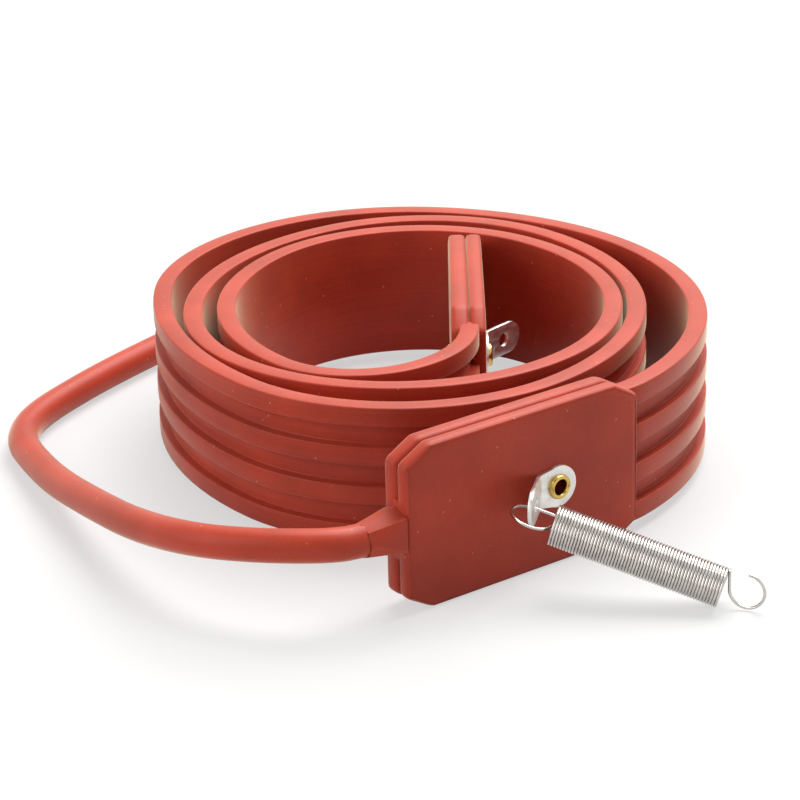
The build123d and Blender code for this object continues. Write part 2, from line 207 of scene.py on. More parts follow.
def pick(obj):
    """Select one object alone and make it active."""
    deselect_all()
    bpy.context.view_layer.objects.active = obj
    obj.select_set(True)


def edit(obj):
    """Edit one object alone, with all of its mesh selected."""
    pick(obj)
    bpy.ops.object.mode_set(mode="EDIT")
    bpy.ops.mesh.select_mode(type="VERT")
    bpy.ops.mesh.select_all(action="SELECT")


def leave_edit():
    """Back to object mode."""
    bpy.ops.object.mode_set(mode="OBJECT")


def settle(obj):
    """Apply the object's place, so that its origin is the frame's."""
    pick(obj)
    bpy.ops.object.transform_apply(location=True, rotation=True, scale=True)


def apply_modifier(obj, kind, **settings):
    """Add a modifier with its settings and apply it."""
    pick(obj)
    modifier = obj.modifiers.new(kind.title(), kind)
    for name, value in settings.items():
        setattr(modifier, name, value)
    bpy.ops.object.modifier_apply(modifier=modifier.name)


def smooth(obj, degrees=35.0):
    """Smooth shading that keeps the edges sharper than an angle."""
    pick(obj)
    bpy.ops.object.shade_smooth_by_angle(angle=math.radians(degrees))


def draw_outline(points, name):
    """Closed wire through points, drawn vertex by vertex; it is left in edit mode with all selected."""
    deselect_all()
    start = Vector(points[0])
    bpy.ops.mesh.primitive_plane_add(size=MM, location=start)
    obj = bpy.context.object
    obj.name = name
    settle(obj)
    edit(obj)
    bpy.ops.mesh.merge(type="CENTER")
    place = start
    for point in points[1:]:
        step = Vector(point) - place
        bpy.ops.mesh.extrude_vertices_move(TRANSFORM_OT_translate={"value": step})
        place = Vector(point)
    bpy.ops.mesh.extrude_vertices_move(TRANSFORM_OT_translate={"value": start - place})
    bpy.ops.mesh.select_all(action="SELECT")
    bpy.ops.mesh.remove_doubles(threshold=TOUCH)
    return obj


def select_edges(obj, test):
    """In edit mode, select the edges whose two ends pass a test on their places."""
    bpy.ops.mesh.select_all(action="DESELECT")
    bpy.ops.object.mode_set(mode="OBJECT")
    mesh = obj.data
    for edge in mesh.edges:
        first, second = (mesh.vertices[index].co for index in edge.vertices)
        edge.select = test(first, second)
    bpy.ops.object.mode_set(mode="EDIT")
    bpy.ops.mesh.select_mode(type="EDGE")


def face_outwards(obj):
    """Turn the faces of a closed mesh outwards; the sign of its volume tells whether they are."""
    edit(obj)
    bpy.ops.mesh.normals_make_consistent(inside=False)
    leave_edit()
    volume = sum(face.center.dot(face.normal) * face.area for face in obj.data.polygons) / 3
    if volume < 0:
        edit(obj)
        bpy.ops.mesh.flip_normals()
        leave_edit()


def close_ends(obj):
    """Close every open end of a mesh and turn its faces outwards."""
    bpy.ops.mesh.select_all(action="SELECT")
    bpy.ops.mesh.remove_doubles(threshold=TOUCH)
    bpy.ops.mesh.select_all(action="SELECT")
    bpy.ops.mesh.fill_holes(sides=0)
    leave_edit()
    face_outwards(obj)


def placed_copy(obj, name, matrix):
    """Copy of a piece with its own mesh, placed by a matrix in its mesh."""
    pick(obj)
    bpy.ops.object.duplicate()
    copy = bpy.context.object
    copy.name = name
    copy.data.transform(matrix)
    return copy


def softened_copy(node, name, width, segments=2):
    """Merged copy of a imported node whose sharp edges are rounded."""
    pick(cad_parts[node])
    bpy.ops.object.duplicate()
    copy = bpy.context.object
    copy.name = name
    copy.parent = None
    for key in list(copy.keys()):
        if key.startswith("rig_"):
            del copy[key]
    edit(copy)
    bpy.ops.mesh.remove_doubles(threshold=TOUCH)
    bpy.ops.mesh.select_all(action="SELECT")
    bpy.ops.mesh.dissolve_limited(angle_limit=math.radians(1.0))
    leave_edit()
    apply_modifier(
        copy, "BEVEL", width=width, segments=segments, limit_method="ANGLE", angle_limit=math.radians(40.0),
    )
    smooth(copy)
    return copy


def dress(obj, material, body, slot, *nodes):
    """Give a piece its material, the body that it rides on and the nodes that it stands for; the slot is
    not used.
    """
    obj.data.materials.clear()
    obj.data.materials.append(material)
    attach(obj, body)
    if nodes:
        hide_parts(*nodes)


def discard(obj):
    """Remove a piece that only served as a pattern or a cutter."""
    bpy.data.objects.remove(obj, do_unlink=True)


def block_frame(name):
    """Matrix that takes a block's own frame to its place in the model."""
    if name == "outer":
        return Matrix.Translation(OUTER_MOUTH * MM)
    place, heading = strip_end()
    turned = Matrix.Rotation(heading + math.pi, 4, "Z") @ Matrix.Rotation(math.pi, 4, "X")
    return Matrix.Translation(place) @ turned


def strip_arcs():
    """Centre, radius, turn and start of each arc of the strip's flat face, in metres and radians."""
    sizes = bpy.context.scene.belt_sizes
    x = OUTER_MOUTH.x * MM
    y = OUTER_MOUTH.y * MM + sizes.strip_thickness / 2
    heading = 0.0
    arcs = []
    for radius, turn in STRIP_ARCS:
        radius *= MM
        centre = Vector((x - radius * math.sin(heading), y + radius * math.cos(heading), 0.0))
        arcs.append((centre, radius, math.radians(turn), heading))
        heading += math.radians(turn)
        x = centre.x + radius * math.sin(heading)
        y = centre.y - radius * math.cos(heading)
    return arcs, Vector((x, y, 0.0)), heading


def strip_end():
    """Mouth of the inner block, and the strip's heading there."""
    sizes = bpy.context.scene.belt_sizes
    _, end, heading = strip_arcs()
    middle = sizes.strip_thickness / 2
    place = end + Vector((math.sin(heading), -math.cos(heading), 0.0)) * middle
    place.z = OUTER_MOUTH.z * MM
    return place, heading


# ---- materials


def add_node(tree, kind, settings=None, inputs=None):
    """Add a node with its settings; an input takes a value, or the output socket that feeds it."""
    node = tree.nodes.new(kind)
    for name, value in (settings or {}).items():
        setattr(node, name, value)
    for name, value in (inputs or {}).items():
        if isinstance(value, bpy.types.NodeSocket):
            tree.links.new(value, node.inputs[name])
        else:
            node.inputs[name].default_value = value
    return node


def new_material(name):
    """Empty node material with an output, and its tree."""
    material = bpy.data.materials.new(name)
    material.use_nodes = True
    tree = material.node_tree
    tree.nodes.clear()
    return material, tree


def finish_material(tree, shader):
    """Join a shader to the material's output."""
    add_node(tree, "ShaderNodeOutputMaterial", inputs={"Surface": shader.outputs[0]})


def ramp(tree, factor, stops):
    """Colour ramp through stops of place and grey or colour."""
    node = add_node(tree, "ShaderNodeValToRGB", inputs={"Fac": factor})
    elements = node.color_ramp.elements
    while len(elements) < len(stops):
        elements.new(0.5)
    for element, (place, value) in zip(elements, stops):
        element.position = place
        element.color = (value, value, value, 1.0) if isinstance(value, float) else (*value, 1.0)
    return node.outputs["Color"]


def silicone_rubber(name, colour, bloom, streaks, gloss):
    """Silicone rubber: soft satin skin with a fine grain, faint die lines and clinging dust specks."""
    material, tree = new_material(name)
    place = add_node(tree, "ShaderNodeTexCoord").outputs["Object"]
    # clouding about 14 mm across from uneven pigment
    clouds = add_node(tree, "ShaderNodeTexNoise", inputs={"Vector": place, "Scale": 70.0, "Detail": 3.0})
    # grain of the cured skin, drawn 0.45 mm wide so that it shows
    grain = add_node(tree, "ShaderNodeTexNoise", inputs={"Vector": place, "Scale": 2200.0, "Detail": 2.0})
    # dust specks up to 0.5 mm across, about one to each square centimetre
    dust = add_node(
        tree, "ShaderNodeTexVoronoi", settings={"feature": "F1"}, inputs={"Vector": place, "Scale": 260.0},
    )
    speck = ramp(tree, dust.outputs["Distance"], [(0.0, 1.0), (0.045, 1.0), (0.075, 0.0)])
    # lines along the strip every 0.6 mm from the extruder's die
    stretch = add_node(
        tree, "ShaderNodeMapping", inputs={"Vector": place, "Scale": (18.0, 18.0, 1600.0)},
    )
    lines = add_node(
        tree, "ShaderNodeTexNoise",
        inputs={"Vector": stretch.outputs["Vector"], "Scale": 1.0, "Detail": 2.0},
    )
    dark = tuple(value * 0.86 for value in colour)
    light = tuple(min(1.0, value * 1.12) for value in colour)
    base = ramp(tree, clouds.outputs["Fac"], [(0.3, dark), (0.7, light)])
    grained = add_node(
        tree, "ShaderNodeMix", settings={"data_type": "RGBA", "blend_type": "MULTIPLY"},
        inputs={
            "Factor": 0.35, "A": base, "B": ramp(tree, grain.outputs["Fac"], [(0.3, 0.72), (0.7, 1.0)]),
        },
    )
    lined = add_node(
        tree, "ShaderNodeMix", settings={"data_type": "RGBA", "blend_type": "MULTIPLY"},
        inputs={
            "Factor": streaks, "A": grained.outputs["Result"],
            "B": ramp(tree, lines.outputs["Fac"], [(0.35, 0.75), (0.65, 1.0)]),
        },
    )
    faint = add_node(tree, "ShaderNodeMath", settings={"operation": "MULTIPLY"}, inputs={0: speck, 1: 0.3})
    dusted = add_node(
        tree, "ShaderNodeMix", settings={"data_type": "RGBA"},
        inputs={"Factor": faint.outputs[0], "A": lined.outputs["Result"], "B": (*bloom, 1.0)},
    )
    rough = ramp(tree, grain.outputs["Fac"], [(0.25, gloss - 0.06), (0.75, gloss + 0.08)])
    height = add_node(
        tree, "ShaderNodeMath", settings={"operation": "MULTIPLY_ADD"},
        inputs={0: lines.outputs["Fac"], 1: streaks, 2: grain.outputs["Fac"]},
    )
    bump = add_node(
        tree, "ShaderNodeBump", inputs={"Strength": 0.35, "Distance": 0.00006, "Height": height.outputs[0]},
    )
    shader = add_node(
        tree, "ShaderNodeBsdfPrincipled",
        inputs={
            "Base Color": dusted.outputs["Result"], "Roughness": rough, "Normal": bump.outputs["Normal"],
            "IOR": 1.43, "Specular IOR Level": 0.25, "Sheen Weight": 0.65, "Sheen Roughness": 0.3,
            "Sheen Tint": (*srgb(SHEEN_TINT), 1.0),
        },
    )
    finish_material(tree, shader)
    return material


def bright_metal(name, colour, roughness, line_scale, bump_depth):
    """Bare or plated metal with fine drawing lines and a faint uneven tarnish."""
    material, tree = new_material(name)
    place = add_node(tree, "ShaderNodeTexCoord").outputs["Object"]
    stretch = add_node(tree, "ShaderNodeMapping", inputs={"Vector": place, "Scale": line_scale})
    lines = add_node(
        tree, "ShaderNodeTexNoise",
        inputs={"Vector": stretch.outputs["Vector"], "Scale": 1.0, "Detail": 3.0},
    )
    # tarnish in patches about 2 mm across
    patches = add_node(tree, "ShaderNodeTexNoise", inputs={"Vector": place, "Scale": 500.0, "Detail": 2.0})
    dull = tuple(value * 0.82 for value in colour)
    base = ramp(tree, patches.outputs["Fac"], [(0.35, dull), (0.65, colour)])
    rough = ramp(tree, lines.outputs["Fac"], [(0.3, roughness * 0.8), (0.7, roughness * 1.35)])
    bump = add_node(
        tree, "ShaderNodeBump",
        inputs={"Strength": 0.3, "Distance": bump_depth, "Height": lines.outputs["Fac"]},
    )
    shader = add_node(
        tree, "ShaderNodeBsdfPrincipled",
        inputs={"Base Color": base, "Metallic": 1.0, "Roughness": rough, "Normal": bump.outputs["Normal"]},
    )
    finish_material(tree, shader)
    return material


def core_insulation(name, colour):
    """Extruded insulation of a core: smooth, slightly glossy, with a faint waviness."""
    material, tree = new_material(name)
    place = add_node(tree, "ShaderNodeTexCoord").outputs["Object"]
    # waves of the extruded skin, 1.5 mm long
    waves = add_node(tree, "ShaderNodeTexNoise", inputs={"Vector": place, "Scale": 650.0, "Detail": 2.0})
    base = ramp(tree, waves.outputs["Fac"], [(0.3, tuple(v * 0.85 for v in colour)), (0.7, colour)])
    bump = add_node(
        tree, "ShaderNodeBump",
        inputs={"Strength": 0.2, "Distance": 0.00004, "Height": waves.outputs["Fac"]},
    )
    shader = add_node(
        tree, "ShaderNodeBsdfPrincipled",
        inputs={"Base Color": base, "Roughness": 0.38, "Normal": bump.outputs["Normal"]},
    )
    finish_material(tree, shader)
    return material


def wound_core(name, colour):
    """Glass fibre core with resistance wire wound round it, as fine grey bands on pale braid."""
    material, tree = new_material(name)
    place = add_node(tree, "ShaderNodeTexCoord").outputs["Object"]
    # a band is 2 pi over 20 times the scale, so 100 gives 3.1 mm, drawn coarser than real so that it shows
    winding = add_node(
        tree, "ShaderNodeTexWave", settings={"wave_type": "BANDS", "bands_direction": "X"},
        inputs={"Vector": place, "Scale": 100.0, "Distortion": 0.4},
    )
    base = ramp(tree, winding.outputs["Fac"], [(0.4, colour), (0.6, srgb(HEATING_WIRE))])
    bump = add_node(
        tree, "ShaderNodeBump",
        inputs={"Strength": 0.6, "Distance": 0.0001, "Height": winding.outputs["Fac"]},
    )
    shader = add_node(
        tree, "ShaderNodeBsdfPrincipled",
        inputs={"Base Color": base, "Roughness": 0.5, "Normal": bump.outputs["Normal"]},
    )
    finish_material(tree, shader)
    return material


def seeing_rays(tree):
    """One for camera, glossy and transmission rays, and nothing for the rays that light the object."""
    rays = add_node(tree, "ShaderNodeLightPath")
    seen = add_node(
        tree, "ShaderNodeMath", settings={"operation": "ADD"},
        inputs={0: rays.outputs["Is Camera Ray"], 1: rays.outputs["Is Glossy Ray"]},
    )
    seen = add_node(
        tree, "ShaderNodeMath", settings={"operation": "ADD", "use_clamp": True},
        inputs={0: seen.outputs[0], 1: rays.outputs["Is Transmission Ray"]},
    )
    return seen.outputs[0]


def pale_ground(name, colour, share):
    """Matt floor, of which the rays that see it take a share as flat white."""
    material, tree = new_material(name)
    factor = add_node(
        tree, "ShaderNodeMath", settings={"operation": "MULTIPLY"}, inputs={0: seeing_rays(tree), 1: share},
    )
    lit = add_node(tree, "ShaderNodeBsdfDiffuse", inputs={"Color": (*colour, 1.0)})
    flat = add_node(tree, "ShaderNodeEmission", inputs={"Color": (1.0, 1.0, 1.0, 1.0), "Strength": 1.0})
    shader = add_node(
        tree, "ShaderNodeMixShader", inputs={0: factor.outputs[0], 1: lit.outputs[0], 2: flat.outputs[0]},
    )
    finish_material(tree, shader)
    return material


# ---- operators


class BELT_OT_camera(bpy.types.Operator):
    """Place the camera at the photograph's angle."""

    bl_idname = "belt.camera"
    bl_label = "Camera"

    def execute(self, context):
        deselect_all()
        bpy.ops.object.camera_add()
        camera = context.object
        camera.name = "view_camera"
        pitch = math.radians(CAMERA_PITCH)
        roll = math.radians(CAMERA_ROLL)
        level = Vector((*CAMERA_RIGHT, 0.0)).normalized()
        away = Vector((-level.y, level.x, 0.0))
        raised = away * math.sin(pitch) + Vector((0.0, 0.0, math.cos(pitch)))
        look = away * math.cos(pitch) - Vector((0.0, 0.0, math.sin(pitch)))
        right = level * math.cos(roll) + raised * math.sin(roll)
        up = raised * math.cos(roll) - level * math.sin(roll)
        turn = Matrix((right, up, -look)).transposed().to_4x4()
        camera.matrix_world = Matrix.Translation(CAMERA_PLACE) @ turn
        camera.data.sensor_width = 36.0
        camera.data.lens = CAMERA_LENS
        camera.data.clip_start = 0.01
        context.scene.camera = camera
        context.scene.view_settings.view_transform = "Standard"
        return {"FINISHED"}


def circle_points(centre, radius, start, turn):
    """Points round an arc in plan, evenly spaced and no further apart than a step."""
    count = math.ceil(turn / LEAD_POINT_STEP)
    points = []
    for index in range(count + 1):
        angle = math.radians(start + turn * index / count)
        x = centre[0] + radius * math.cos(angle)
        y = centre[1] + radius * math.sin(angle)
        points.append((x, y, LEAD_REST))
    return points


class BELT_OT_supply_lead(bpy.types.Operator):
    """Lay the supply lead from its relief, behind the coil and into its put-away turn."""

    bl_idname = "belt.supply_lead"
    bl_label = "Supply lead"

    def execute(self, context):
        sizes, colours = context.scene.belt_sizes, context.scene.belt_colours
        coil = circle_points(LEAD_COIL_CENTRE, LEAD_COIL_RADIUS, LEAD_COIL_START, LEAD_COIL_TURN)
        turned = LEAD_COIL_START + LEAD_COIL_TURN
        angle = math.radians(turned)
        reach = LEAD_COIL_RADIUS - LEAD_TAIL_RADIUS
        tail_centre = (
            LEAD_COIL_CENTRE[0] + reach * math.cos(angle), LEAD_COIL_CENTRE[1] + reach * math.sin(angle),
        )
        tail = circle_points(tail_centre, LEAD_TAIL_RADIUS, turned, LEAD_TAIL_TURN)
        points = [LEAD_EXIT, *LEAD_ROUTE, *coil, *tail[1:]]
        line = bpy.data.curves.new("supply_lead", "CURVE")
        line.dimensions = "3D"
        line.resolution_u = 10
        line.bevel_depth = sizes.lead_diameter / 2
        line.bevel_resolution = 8
        line.use_fill_caps = True
        spline = line.splines.new("NURBS")
        spline.points.add(len(points) - 1)
        for target, point in zip(spline.points, points):
            target.co = (*(value * MM for value in point), 1.0)
        spline.order_u = 3
        spline.use_endpoint_u = True
        spline.use_smooth = True
        lead = bpy.data.objects.new("supply_lead", line)
        context.scene.collection.objects.link(lead)
        sheath = silicone_rubber("silicone_sheath_extruded", colours.silicone, colours.bloom, 0.0, 0.4)
        dress(lead, sheath, "belt", "lead_silicone", "lead", "lead_coil")
        relief = softened_copy("strain_relief", "strain_relief_moulded", RELIEF_ROUNDING * MM, segments=4)
        moulded = silicone_rubber("silicone_relief_moulded", colours.silicone, colours.bloom, 0.0, 0.42)
        dress(relief, moulded, "belt", "lead_silicone", "strain_relief")
        finishes = {
            "lead_blue_core": core_insulation("core_insulation_blue", colours.blue),
            "lead_brown_core": core_insulation("core_insulation_brown", colours.brown),
        }
        tinned = bright_metal("tinned_copper_crimped", colours.tinned, 0.3, (900.0, 900.0, 900.0), 0.00001)
        finishes["lead_blue_ferrule"] = tinned
        finishes["lead_brown_ferrule"] = tinned
        for node, material in finishes.items():
            dress_node(node, material)
        return {"FINISHED"}


def dress_node(node, material):
    """Give a carried node a procedural material in place of its plain one."""
    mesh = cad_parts[node].data
    mesh.materials.clear()
    mesh.materials.append(material)


class BELT_OT_heater_strip(bpy.types.Operator):
    """Extrude the ribbed strip along its tails and spin it round each arc of the coil."""

    bl_idname = "belt.heater_strip"
    bl_label = "Heater strip"

    def execute(self, context):
        sizes, colours = context.scene.belt_sizes, context.scene.belt_colours
        arcs, end, heading = strip_arcs()
        pitch = (sizes.strip_width - sizes.rib_width) / (sizes.rib_count - 1)
        base = OUTER_MOUTH.z * MM - sizes.strip_width / 2
        profile = []
        for index in range(sizes.rib_count):
            low = index * pitch
            high = low + sizes.rib_width
            profile += [(sizes.strip_base, low), (sizes.strip_thickness, low)]
            profile += [(sizes.strip_thickness, high), (sizes.strip_base, high)]
        profile = [(0.0, 0.0)] + profile[1:-1] + [(0.0, sizes.strip_width)]
        start_x = OUTER_MOUTH.x * MM - STRIP_TAIL * MM
        flat_y = OUTER_MOUTH.y * MM + sizes.strip_thickness / 2
        points = [(start_x, flat_y - reach, base + height) for reach, height in profile]
        strip = draw_outline(points, "heater_strip_extruded")
        bpy.ops.mesh.edge_face_add()
        bpy.ops.mesh.bevel(offset=sizes.strip_rounding, segments=3, affect="VERTICES")
        bpy.ops.mesh.select_all(action="SELECT")
        bpy.ops.mesh.delete(type="ONLY_FACE")
        bpy.ops.mesh.select_all(action="SELECT")
        bpy.ops.mesh.extrude_region_move(TRANSFORM_OT_translate={"value": (STRIP_TAIL * MM, 0.0, 0.0)})
        for centre, _, turn, _ in arcs:
            steps = math.ceil(math.degrees(turn) / STRIP_STEP)
            # with no window, spin turns against the right-hand rule
            bpy.ops.mesh.spin(steps=steps, angle=-turn, center=centre, axis=(0.0, 0.0, 1.0))
        tail = Vector((math.cos(heading), math.sin(heading), 0.0)) * STRIP_TAIL * MM
        bpy.ops.mesh.extrude_region_move(TRANSFORM_OT_translate={"value": tail})
        close_ends(strip)
        smooth(strip, 40.0)
        rubber = silicone_rubber("silicone_rubber_extruded", colours.silicone, colours.bloom, 0.35, 0.4)
        dress(strip, rubber, "belt", "strip_silicone", "heater_strip")
        return {"FINISHED"}


def model_block_half(depth, name):
    """One half of an end block in its own frame: cut corners, rounded rims and the eyelet's bore."""
    sizes = bpy.context.scene.belt_sizes
    tall = sizes.block_height
    # the end covers the root of the strain relief by a hair
    near_end, far_end = sizes.block_lip, -sizes.block_length - BLOCK_PROUD * MM
    length = near_end - far_end
    middle = (near_end + far_end) / 2
    deselect_all()
    bpy.ops.mesh.primitive_cube_add(
        size=1.0, location=(middle, depth / 2, 0.0), scale=(length, abs(depth), tall),
    )
    half = bpy.context.object
    half.name = name
    settle(half)
    edit(half)
    for end in (near_end, far_end):
        for side in (-1, 1):
            inward = -sizes.block_cut_long if end == near_end else sizes.block_cut_long
            corner = Vector((end, 0.0, side * (tall / 2 - sizes.block_cut_tall)))
            across = Vector((end + inward, 0.0, side * tall / 2)) - corner
            normal = Vector((across.z, 0.0, -across.x)).normalized()
            if normal.dot(corner - Vector((middle, 0.0, 0.0))) < 0:
                normal = -normal
            bpy.ops.mesh.select_all(action="SELECT")
            bpy.ops.mesh.bisect(plane_co=corner, plane_no=normal, use_fill=True, clear_outer=True)
    select_edges(half, lambda a, b: abs(a.x - b.x) < TOUCH and abs(a.z - b.z) < TOUCH)
    # wider than the rounding that follows, or that one would bulge past the corners
    bpy.ops.mesh.bevel(offset=sizes.block_rounding * 4 / 3, segments=3, affect="EDGES")
    select_edges(half, lambda a, b: abs(a.y - depth) < TOUCH and abs(b.y - depth) < TOUCH)
    bpy.ops.mesh.bevel(offset=sizes.block_rounding, segments=4, affect="EDGES")
    select_edges(half, lambda a, b: abs(a.y) < TOUCH and abs(b.y) < TOUCH)
    bpy.ops.mesh.bevel(offset=SEAM_ROUNDING * MM, segments=2, affect="EDGES")
    leave_edit()
    face_outwards(half)
    deselect_all()
    bore = sizes.eyelet_bore / 2 + sizes.eyelet_wall
    bpy.ops.mesh.primitive_cylinder_add(
        vertices=48, radius=bore, depth=4 * abs(depth), location=(-sizes.eyelet_at, 0.0, 0.0),
        rotation=(math.pi / 2, 0.0, 0.0),
    )
    cutter = bpy.context.object
    settle(cutter)
    apply_modifier(half, "BOOLEAN", operation="DIFFERENCE", solver="MANIFOLD", object=cutter)
    discard(cutter)
    smooth(half, 30.0)
    return half


class BELT_OT_end_blocks(bpy.types.Operator):
    """Model a block's two moulded halves once and copy them to both ends of the strip."""

    bl_idname = "belt.end_blocks"
    bl_label = "End blocks"

    def execute(self, context):
        sizes, colours = context.scene.belt_sizes, context.scene.belt_colours
        rubber = silicone_rubber("silicone_rubber_moulded", colours.silicone, colours.bloom, 0.0, 0.42)
        for side, depth in (("front", -sizes.block_front), ("back", sizes.block_back)):
            pattern = model_block_half(depth, "block_pattern")
            for name in ("outer", "inner"):
                piece = placed_copy(pattern, f"{name}_block_{side}_moulded", block_frame(name))
                dress(piece, rubber, "belt", "block_silicone", f"{name}_block_{side}")
            discard(pattern)
        return {"FINISHED"}


class BELT_OT_eyelets(bpy.types.Operator):
    """Spin a brass eyelet with two rolled flanges and copy it to both blocks."""

    bl_idname = "belt.eyelets"
    bl_label = "Eyelets"

    def execute(self, context):
        sizes, colours = context.scene.belt_sizes, context.scene.belt_colours
        front = -sizes.block_front - sizes.lug_sheet
        back = sizes.block_back
        bore = sizes.eyelet_bore / 2
        rim = sizes.eyelet_flange / 2
        middle = (bore + rim) / 2
        half = (rim - bore) / 2
        centre_x = -sizes.eyelet_at
        roll = [math.radians(angle) for angle in range(0, 181, 15)]
        profile = [(middle - half * math.cos(a), front - sizes.eyelet_proud * math.sin(a)) for a in roll]
        profile += [(bore + sizes.eyelet_wall, front), (bore + sizes.eyelet_wall, back)]
        profile += [(middle + half * math.cos(a), back + sizes.eyelet_proud * math.sin(a)) for a in roll]
        points = [(centre_x + radius, height, 0.0) for radius, height in profile]
        eyelet = draw_outline(points, "eyelet_pattern")
        bpy.ops.mesh.spin(steps=48, angle=2 * math.pi, center=(centre_x, 0.0, 0.0), axis=(0.0, 1.0, 0.0))
        close_ends(eyelet)
        smooth(eyelet, 40.0)
        brass = bright_metal("brass_drawn", colours.brass, 0.2, (1500.0, 300.0, 1500.0), 0.000008)
        for name in ("outer", "inner"):
            piece = placed_copy(eyelet, f"{name}_eyelet_rolled", block_frame(name))
            dress(piece, brass, "belt", "eyelet_brass", f"{name}_eyelet")
        discard(eyelet)
        return {"FINISHED"}


class BELT_OT_lugs(bpy.types.Operator):
    """Round the edges of the pressed lugs and plate them."""

    bl_idname = "belt.lugs"
    bl_label = "Lugs"

    def execute(self, context):
        colours = context.scene.belt_colours
        nickel = bright_metal(
            "steel_sheet_nickel_plated", colours.nickel, 0.38, (250.0, 250.0, 2600.0), 0.000006,
        )
        for name in ("outer", "inner"):
            lug = softened_copy(f"{name}_lug", f"{name}_lug_pressed", LUG_ROUNDING * MM)
            dress(lug, nickel, "belt", "lug_steel", f"{name}_lug")
        return {"FINISHED"}


def wire_ring(place, along, radius):
    """Start a wire: a ring of few sides across its direction, in edit mode."""
    deselect_all()
    turn = Vector(along).to_track_quat("Z", "Y").to_euler()
    bpy.ops.mesh.primitive_circle_add(vertices=10, radius=radius, location=place, rotation=turn)
    ring = bpy.context.object
    settle(ring)
    edit(ring)
    return ring


def spin_wire(place, along, towards, radius, turn, steps):
    """Bend the selected end of a wire towards a direction; gives its new place and heading."""
    along, towards = Vector(along).normalized(), Vector(towards).normalized()
    axis = along.cross(towards).normalized()
    inward = axis.cross(along)
    centre = Vector(place) + inward * radius
    # with no window, spin turns against the right-hand rule
    bpy.ops.mesh.spin(steps=steps, angle=-turn, center=centre, axis=axis)
    rotation = Matrix.Rotation(turn, 3, axis)
    return centre + rotation @ (Vector(place) - centre), rotation @ along


def heading_vector(degrees, slope=0.0):
    """Direction in plan, sloping down by a second angle in radians."""
    angle = math.radians(degrees)
    return Vector((
        math.cos(slope) * math.cos(angle), math.cos(slope) * math.sin(angle), -math.sin(slope),
    ))


class BELT_OT_tension_spring(bpy.types.Operator):
    """Wind the spring from one wire, with a hook in the lug and a free hook at the far end."""

    bl_idname = "belt.tension_spring"
    bl_label = "Tension spring"

    def execute(self, context):
        sizes, colours = context.scene.belt_sizes, context.scene.belt_colours
        wire = sizes.spring_wire / 2
        mean = sizes.spring_diameter / 2 - wire
        length = SPRING_LENGTH * MM
        leg = HOOK_LEG * MM
        seat = SPRING_SEAT * MM
        slope = math.asin((seat.z - SPRING_REST * MM) / (leg + length))
        run = heading_vector(SPRING_HEADING, slope)
        side = heading_vector(SPRING_HEADING + 90.0)
        up = run.cross(side)
        start = seat - side * mean + run * leg
        elbow = ELBOW * MM
        lean = math.atan(elbow / mean)
        # the coil, wound in its own frame about Z from the fixed hook to the free one
        deselect_all()
        bpy.ops.mesh.primitive_circle_add(
            vertices=8, radius=wire, location=(mean, 0.0, 0.0), rotation=(math.pi / 2, 0.0, 0.0),
        )
        coil = context.object
        coil.name = "tension_spring_wound"
        settle(coil)
        turns = sizes.spring_turns - 2 * lean / (2 * math.pi)
        rise = length - 2 * wire
        apply_modifier(
            coil, "SCREW", axis="Z", angle=turns * 2 * math.pi, screw_offset=rise, iterations=1,
            steps=round(turns * SPRING_STEPS), render_steps=round(turns * SPRING_STEPS),
            use_merge_vertices=False,
        )
        frame_turn = Matrix((side, up, run)).transposed().to_4x4()
        into_place = Matrix.Translation(start + run * wire) @ frame_turn @ Matrix.Rotation(lean, 4, "Z")
        coil.data.transform(into_place)
        parts = [coil]
        rotate = into_place.to_3x3()
        first = into_place @ Vector((mean, 0.0, 0.0))
        backwards = -(rotate @ Vector((0.0, 1.0, 0.0)))
        # fixed hook
        ring = wire_ring(first, backwards, wire)
        place, _ = spin_wire(first, backwards, -run, elbow, math.radians(90.0), 6)
        bpy.ops.mesh.extrude_region_move(TRANSFORM_OT_translate={"value": -run * (leg - elbow)})
        place = place - run * (leg - elbow)
        ring_radius = mean + HOOK_EASE * MM
        spin_wire(place, -run, -side, ring_radius, math.radians(HOOK_TURN), HOOK_STEPS)
        leave_edit()
        parts.append(ring)
        # free hook: the wire crosses the coil's end down to its middle and rings forwards
        last_angle = turns * 2 * math.pi
        last = into_place @ Vector((mean * math.cos(last_angle), mean * math.sin(last_angle), rise))
        forwards = rotate @ Vector((-math.sin(last_angle), math.cos(last_angle), 0.0))
        down = Vector((0.0, 0.0, -1.0))
        ring = wire_ring(last, forwards, wire)
        place, _ = spin_wire(last, forwards, down, elbow, forwards.angle(down), 8)
        free_radius = FREE_HOOK_RADIUS * MM
        centre_height = free_radius + wire + FREE_HOOK_LIFT * MM
        bpy.ops.mesh.extrude_region_move(TRANSFORM_OT_translate={"value": down * (place.z - centre_height)})
        place.z = centre_height
        free_run = heading_vector(FREE_HOOK_HEADING)
        spin_wire(place, down, free_run, free_radius, math.radians(FREE_HOOK_TURN), HOOK_STEPS)
        leave_edit()
        parts.append(ring)
        deselect_all()
        for part in parts:
            part.select_set(True)
        context.view_layer.objects.active = coil
        bpy.ops.object.join()
        edit(coil)
        close_ends(coil)
        smooth(coil, 60.0)
        steel = bright_metal("spring_wire_drawn", colours.wire, 0.2, (700.0, 700.0, 700.0), 0.000004)
        dress(coil, steel, "spring", "spring_steel", "tension_spring")
        return {"FINISHED"}


